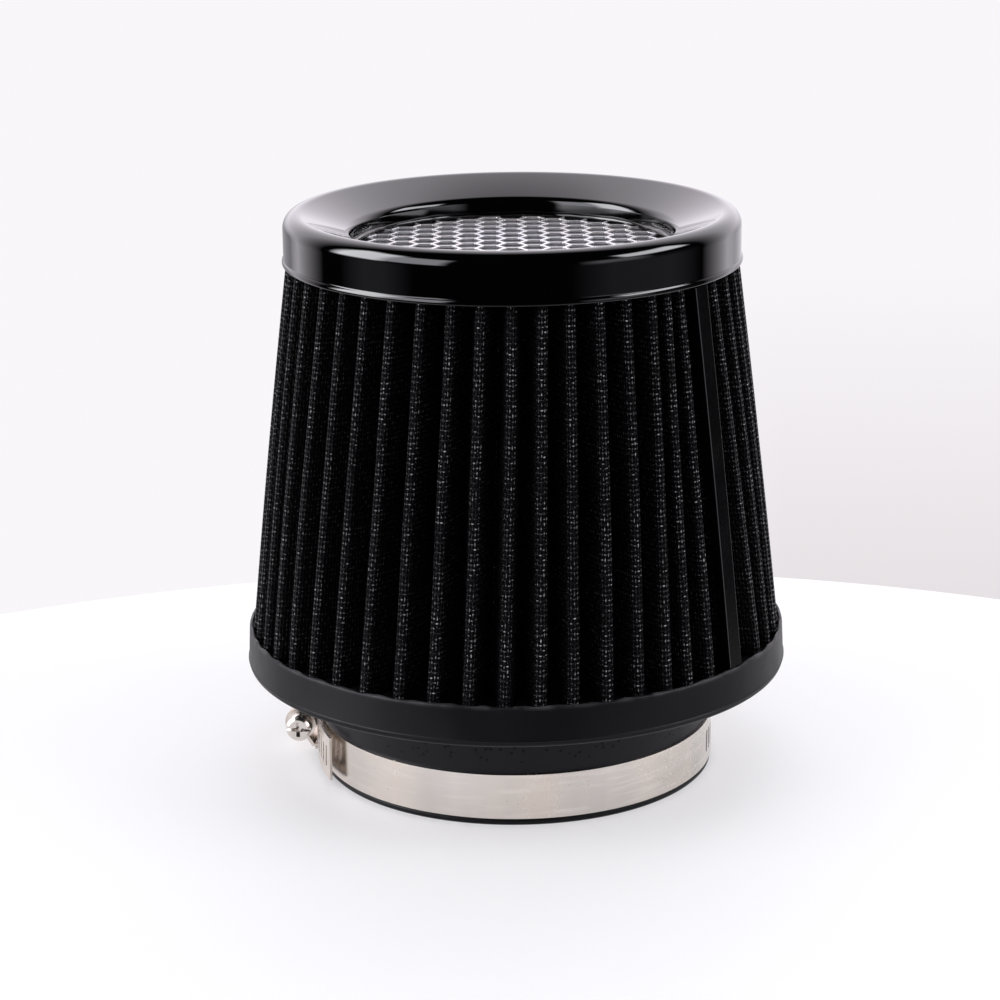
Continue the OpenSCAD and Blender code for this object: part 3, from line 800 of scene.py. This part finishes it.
class AIRFILTER_OT_base(Operator):
    """Base: neck, underside, rim and the rubber that the pleats are cast in"""

    bl_idname = "airfilter.base"
    bl_label = "Base and neck"

    def section(self, sizes, pleats):
        """Closed line of the base, from the mouth of the bore up the inside and down the outside."""
        lead = 0.6 * MM
        round_off = 3 * MM
        top = BASE_HIGH.z
        fill = top - sizes.fill
        rim = BASE_HIGH.x - 0.2 * MM
        inner = pleats.foot - pleats.depth
        flash = 0.2 * MM
        seam = sizes.rim + 0.72 * MM
        line = [(sizes.bore + lead, 0.0), (sizes.bore + 0.3 * lead, 0.3 * lead), (sizes.bore, lead)]
        line += [(sizes.bore, sizes.bore_top), (sizes.throat, fill - lead), (sizes.throat + lead, fill)]
        steps = 7
        line += [(blend(inner - lead, pleats.foot - lead, i / steps), fill) for i in range(steps + 1)]
        line += [(pleats.foot - 0.1 * MM, fill + 0.2 * MM), (pleats.foot, top - 0.15 * MM)]
        line += arc((rim - sizes.draft - lead, top - lead), lead, 110, 0, 5)
        line += [(rim - 0.02 * MM, seam + 2 * flash)]
        line += arc((rim, seam), flash, 80, -80, 4)
        line += arc((rim - 2 * lead, sizes.rim + flash), 2 * lead, 10, -80, 7)
        line += arc((sizes.neck + round_off, sizes.neck_height), round_off, 100, 180, 8)
        proud = sizes.neck + sizes.bead_proud
        line += [(sizes.neck, 8 * MM), (sizes.neck, sizes.bead)]
        line += [(proud - 0.1 * MM, sizes.bead - 0.15 * MM), (proud, sizes.bead - 0.35 * MM)]
        line += [(proud, sizes.bead_proud), (sizes.neck, 0.0)]
        return line

    def execute(self, context):
        pleats = context.scene.airfilter_pleats
        sizes = context.scene.airfilter_base
        ridges = ridge_azimuths(pleats, 0.0)
        fill = BASE_HIGH.z - sizes.fill
        edge = BASE_HIGH.x - 0.7 * MM
        # Run over which the rubber climbs between the folds inside the rim, and its greatest climb
        run = 1.2 * MM
        highest = 0.35 * MM
        bm = spin_profile(self.section(sizes, pleats), BASE_TURN)
        for vert in bm.verts:
            reach = vert.co.xy.length
            if vert.co.z > fill - 0.5 * MM and reach > sizes.throat:
                phase = fold_phase(pleats, math.atan2(vert.co.x, -vert.co.y), ridges)
                hand = noise.noise(Vector((vert.co.x, vert.co.y, 0.0)) * 90.0)
                fine = noise.noise(Vector((vert.co.x, vert.co.y, 0.0003)) * 420.0)
                climb = (0.3 - 0.6 * phase) * smooth((edge - reach) / run)
                vert.co.z += min((climb + 0.3 * hand + 0.14 * fine) * MM, highest)
        rubber = shared("rubber", rubber_material, context.scene.airfilter_finish, shader_groups())
        make_piece("moulded_base", bm, rubber, ["base"], sharp=50)
        return {"FINISHED"}


class AIRFILTER_OT_strip(Operator):
    """Strip folded over the pleat that closes the pack"""

    bl_idname = "airfilter.strip"
    bl_label = "Seam strip"

    def execute(self, context):
        sizes = context.scene.airfilter_pleats
        inner = 2.2 * MM
        wall = 0.5 * MM
        legs = 3.0 * MM
        soft = 0.25 * MM
        proud = 0.6 * MM
        # Width of the painted highlight along each edge of the strip
        edge_highlight = 0.3 * MM
        outer = inner + wall
        half = [(outer, -legs), (outer, -2 * soft), (outer, -soft), (outer - 0.3 * soft, -0.3 * soft)]
        half += [(outer - soft, 0.0), (outer - 1.6 * soft, 0.0)]
        inside = [(inner, -wall), (inner, -legs)]
        outline = [(-x, back) for x, back in half] + half[::-1]
        outline += inside[::-1] + [(-x, back) for x, back in inside]
        shares = [row / STRIP_ROWS for row in range(STRIP_ROWS + 1)]
        places = []
        for share in shares:
            z = blend(CLIP_LOW.z, CLIP_HIGH.z, share)
            t = (z - SCREEN_LOW.z) / (SCREEN_HIGH.z - SCREEN_LOW.z)
            skin = sizes.foot * blend(1.0, pack_scale(sizes), t) + sizes.belly * math.sin(math.pi * t)
            at = seam_azimuth(sizes, t)
            aside = at + math.pi / 2
            places.append([plan(at, skin + proud + back, z) + plan(aside, x) for x, back in outline])
        bm = bmesh.new()
        rings = loft(bm, places)
        bm.faces.new(rings[0])
        bm.faces.new(rings[-1][::-1])
        across = [x - back if x > 0 else x + back for x, back in outline]
        lay_map(bm, rings, across + across[:1], shares)
        bmesh.ops.recalc_face_normals(bm, faces=bm.faces)
        material = strip_material(context.scene.airfilter_finish, shader_groups(), outer, edge_highlight)
        make_piece("seam_strip", bm, material, ["seam_clip"], sharp=50)
        return {"FINISHED"}


class AIRFILTER_OT_cap(Operator):
    """Cap with its dish and recess, and the resin that glues the grille"""

    bl_idname = "airfilter.cap"
    bl_label = "Cap"

    def skin(self, sizes, inset):
        """Line of the cap from its side over the crest and the dish down into the opening."""
        top = CAP_HIGH.z
        crest = CAP_HIGH.x - sizes.draft - sizes.round
        run = (crest - sizes.opening - sizes.edge, sizes.dish + sizes.edge - sizes.round)
        fall = math.degrees(math.atan2(run[1], run[0]))
        fall += math.degrees(math.asin((sizes.round - sizes.edge) / math.hypot(*run)))
        line = arc((crest, top - sizes.round), sizes.round - inset, 0, 90 + fall, 22)
        lip = (sizes.opening + sizes.edge, top - sizes.dish - sizes.edge)
        return line + arc(lip, sizes.edge - inset, 90 + fall, 180 - math.degrees(sizes.taper), 8)

    def execute(self, context):
        sizes = context.scene.airfilter_cap
        gloss = shared("gloss", gloss_material, context.scene.airfilter_finish, shader_groups())
        low = CAP_LOW.z
        mouth = CAP_HIGH.x
        foot = CAP_HIGH.z - sizes.dish - sizes.recess
        lift = 0.1 * MM
        half = sizes.wall / 2
        profile = arc((mouth - half, low + half), half, -180, 0, 8)
        profile += arc((mouth - sizes.lip, low + half), sizes.lip, 0, 42, 8)[1:]
        profile += [(mouth - sizes.draft, low + half + 0.85 * sizes.lip)]
        profile += self.skin(sizes, 0.0)
        narrow = sizes.opening - (sizes.recess - sizes.edge) * math.tan(sizes.taper)
        profile += [(narrow, foot + lift), (narrow + sizes.wall, foot + lift)]
        profile += self.skin(sizes, sizes.wall)[::-1]
        shell = spin_profile(profile, CAP_TURN)
        make_piece("gloss_cap", shell, gloss, ["top_cap"], sharp=60)

        shift = 0.25 * MM
        middle = (narrow - shift, foot + shift)
        bead = spin_profile(arc(middle, sizes.bead, 0, 360, 12)[:-1], RESIN_TURN)
        for vert in bead.verts:
            flat = Vector((vert.co.x, vert.co.y, 0.0))
            lumps = noise.noise(flat * 70.0) + 0.5 * noise.noise(vert.co * 230.0)
            core = flat.normalized() * middle[0]
            core.z = middle[1]
            vert.co = core + (vert.co - core) * (0.95 + 0.5 * lumps)
        make_piece("grille_resin", bead, gloss, sharp=80)
        return {"FINISHED"}


class AIRFILTER_OT_grille(Operator):
    """Honeycomb grille and the fine screen under it"""

    bl_idname = "airfilter.grille"
    bl_label = "Grille"

    def execute(self, context):
        sizes = context.scene.airfilter_cap
        finish = context.scene.airfilter_finish
        groups = shader_groups()
        column = sizes.pitch * math.sqrt(3) / 2
        reach = GRILLE_HIGH.x - 0.8 * MM
        count = int(GRILLE_HIGH.x / column) + 1
        turned = Matrix.Rotation(math.radians(30), 4, "Z")
        bm = bmesh.new()
        for i in range(-count, count + 1):
            for j in range(-count, count + 1):
                x = i * column
                y = (j + (0.5 if i % 2 else 0.0)) * sizes.pitch
                if math.hypot(x, y) < reach:
                    bmesh.ops.create_circle(
                        bm, cap_ends=True, segments=6, radius=sizes.pitch / math.sqrt(3),
                        matrix=Matrix.Translation((x, y, GRILLE_HIGH.z)) @ turned,
                    )
        bmesh.ops.remove_doubles(bm, verts=bm.verts, dist=2e-6)
        cells = list(bm.faces)
        bmesh.ops.inset_individual(
            bm, faces=cells, thickness=sizes.web / 2, depth=0.0, use_even_offset=True
        )
        bmesh.ops.delete(bm, geom=cells, context="FACES")
        bmesh.ops.recalc_face_normals(bm, faces=bm.faces)
        if sum(face.normal.z for face in bm.faces) < 0:
            bmesh.ops.reverse_faces(bm, faces=bm.faces)
        bmesh.ops.solidify(bm, geom=bm.faces, thickness=GRILLE_HIGH.z - GRILLE_LOW.z)
        bmesh.ops.recalc_face_normals(bm, faces=bm.faces)
        metal = metal_material(
            "satin_grille", finish.grille, groups, low=0.16, high=0.30, smudge=120.0, metallic=0.7
        )
        piece = make_piece("honeycomb", bm, metal, ["top_grille"], sharp=40)
        soften(piece, 0.22 * MM, 3, 50)

        gauze = gauze_material(finish, context.scene.airfilter_weave, groups)
        for node in ("top_outer_screen", "top_inner_screen"):
            dress(node, gauze)
        dress("top_media", shared("cotton", cloth_material, finish))
        dress("top_potting", shared("rubber", rubber_material, finish, groups))
        return {"FINISHED"}


class AIRFILTER_OT_clamp(Operator):
    """Clamp: band with its loose tail, saddle, housing and worm screw"""

    bl_idname = "airfilter.clamp"
    bl_label = "Clamp"

    def execute(self, context):
        finish = context.scene.airfilter_finish
        groups = shader_groups()
        band = metal_material(
            "rolled_band", finish.steel, groups, low=0.12, high=0.34, smudge=34.0, streak=14.0
        )
        sheet = metal_material("pressed_sheet", finish.steel, groups, low=0.16, high=0.30, smudge=90.0)
        plated = metal_material(
            "plated_screw", finish.plating, groups, low=0.12, high=0.26, smudge=160.0
        )
        edge = 0.12 * MM
        dressed_copy("clamp_band", "band", band, edge, join=False)
        dressed_copy("clamp_saddle", "saddle", sheet, edge)
        dressed_copy("clamp_housing", "housing", sheet, edge)
        dressed_copy("clamp_screw", "worm_screw", plated, 0.15 * MM, body=SCREW)
        return {"FINISHED"}


class AIRFILTER_OT_stage(Operator):
    """Table, backdrop, lamps and the camera"""

    bl_idname = "airfilter.stage"
    bl_label = "Stage"

    def lamp(self, name, place, size, power):
        data = bpy.data.lights.new(name, "AREA")
        data.shape = "RECTANGLE"
        data.size, data.size_y = size
        data.energy = power
        lamp = bpy.data.objects.new(name, data)
        lamp.location = place
        lamp.rotation_euler = (LAMP_AIM - Vector(place)).to_track_quat("-Z", "Y").to_euler()
        lamp.visible_glossy = False
        bpy.context.scene.collection.objects.link(lamp)

    def table(self, stage, finish):
        bm = bmesh.new()
        bmesh.ops.create_circle(
            bm, cap_ends=True, segments=256, radius=stage.table_radius,
            matrix=Matrix.Translation((0.0, stage.table_back - stage.table_radius, 0.0)),
        )
        mesh = bpy.data.meshes.new("table_top")
        bm.to_mesh(mesh)
        bm.free()
        material, n, bsdf = new_material(
            "table_white", Roughness=0.65, Specular_IOR_Level=0.2, Emission_Color=tuple(finish.sheen)
        )
        path = n.add("ShaderNodeLightPath").outputs
        # Painted dark reflection: to glossy rays the table turns dark in front of the filter, so the
        # rim and the neck reflect it dark
        front = n.remap(n.split(n.place())["Y"], -0.125, -0.19, 0.0, 1.0)
        dull = n.math("MULTIPLY", n.math("MULTIPLY", front, path["Is Glossy Ray"]), 0.82)
        n.put(n.mix(dull, tuple(finish.table), (0.0, 0.0, 0.0)), bsdf.inputs["Base Color"])
        shine = n.math("SUBTRACT", n.math("SUBTRACT", 1.0, path["Is Diffuse Ray"]), dull)
        n.put(shine, bsdf.inputs["Emission Strength"])
        mesh.materials.append(material)
        top = bpy.data.objects.new("table_top", mesh)
        bpy.context.scene.collection.objects.link(top)

    def room(self, finish):
        """Plain bright wall behind the table; in reflections the room is dark towards the camera."""
        world = bpy.data.worlds.new("plain_room")
        bpy.context.scene.world = world
        world.use_nodes = True
        n = Nodes(world.node_tree)
        back = next(x for x in world.node_tree.nodes if x.type == "BACKGROUND")
        path = n.add("ShaderNodeLightPath").outputs
        way = n.split(n.add("ShaderNodeTexCoord").outputs["Generated"])
        behind = n.remap(way["Y"], 0.3, 0.68, 0.0, 1.0)
        glossy = n.mix(behind, (0.004, 0.004, 0.005), (1.9, 1.8, 1.95))
        azimuth = n.math("DEGREES", n.math("ARCTAN2", way["X"], n.math("MULTIPLY", way["Y"], -1.0)))
        height = n.math("DEGREES", n.math("ARCSINE", way["Z"]))
        for sides, ends, edge, tone in PANES:
            pane = n.math("MULTIPLY", n.within(azimuth, *sides, edge), n.within(height, *ends, edge))
            glossy = n.mix(pane, glossy, tone)
        soft = n.mix(path["Is Glossy Ray"], (0.74, 0.73, 0.75), glossy)
        seen = n.math("MAXIMUM", path["Is Camera Ray"], path["Is Transmission Ray"])
        # Painted shade: the wall is darker low down on the right
        low_down = n.remap(way["Z"], -0.2, -0.31, 0.0, 1.0)
        dim = n.math("MULTIPLY", low_down, n.remap(way["X"], 0.02, 0.1, 0.0, 1.0))
        wall = n.mix(dim, tuple(finish.wall_tone), tuple(finish.wall_low))
        n.put(n.mix(seen, soft, wall), back.inputs["Color"])
        back.inputs["Strength"].default_value = 1.0

    def camera(self, stage):
        camera = bpy.data.cameras.new("photo_camera")
        camera.lens = stage.focal
        camera.sensor_width = 36.0
        camera.clip_start = 0.01
        camera.clip_end = 20.0
        eye = bpy.data.objects.new("photo_camera", camera)
        sight = Vector(stage.target) - Vector(stage.camera)
        turn = sight.to_track_quat("-Z", "Y").to_matrix().to_4x4() @ Matrix.Rotation(stage.roll, 4, "Z")
        eye.matrix_world = Matrix.Translation(stage.camera) @ turn
        bpy.context.scene.collection.objects.link(eye)
        bpy.context.scene.camera = eye

    def execute(self, context):
        scene = context.scene
        self.table(scene.airfilter_stage, scene.airfilter_finish)
        self.room(scene.airfilter_finish)
        for name, place, size, power in LAMPS:
            self.lamp(name, place, size, power)
        self.camera(scene.airfilter_stage)
        scene.view_settings.view_transform = "Standard"
        return {"FINISHED"}


class AIRFILTER_PT_panel(Panel):
    """Lists the pieces of the air filter"""

    bl_idname = "AIRFILTER_PT_panel"
    bl_label = "Cone air filter"
    bl_space_type = "VIEW_3D"
    bl_region_type = "UI"
    bl_category = "Air Filter"

    def draw(self, context):
        for operator in OPERATORS:
            self.layout.operator(operator.bl_idname)
        for name, group in GROUPS.items():
            box = self.layout.box()
            box.label(text=group.__doc__)
            for key in group.__annotations__:
                box.prop(getattr(context.scene, name), key)


OPERATORS = (
    AIRFILTER_OT_stage,
    AIRFILTER_OT_pleats,
    AIRFILTER_OT_base,
    AIRFILTER_OT_strip,
    AIRFILTER_OT_cap,
    AIRFILTER_OT_grille,
    AIRFILTER_OT_clamp,
)


def register():
    for group in GROUPS.values():
        bpy.utils.register_class(group)
    for operator in OPERATORS:
        bpy.utils.register_class(operator)
    bpy.utils.register_class(AIRFILTER_PT_panel)
    for name, group in GROUPS.items():
        setattr(bpy.types.Scene, name, PointerProperty(type=group))


def unregister():
    for name in GROUPS:
        delattr(bpy.types.Scene, name)
    bpy.utils.unregister_class(AIRFILTER_PT_panel)
    for operator in reversed(OPERATORS):
        bpy.utils.unregister_class(operator)
    for group in reversed(list(GROUPS.values())):
        bpy.utils.unregister_class(group)


def main():
    register()
    bpy.ops.airfilter.stage()
    bpy.ops.airfilter.pleats()
    bpy.ops.airfilter.base()
    bpy.ops.airfilter.strip()
    bpy.ops.airfilter.cap()
    bpy.ops.airfilter.grille()
    bpy.ops.airfilter.clamp()


if __name__ == "__main__":
    main()
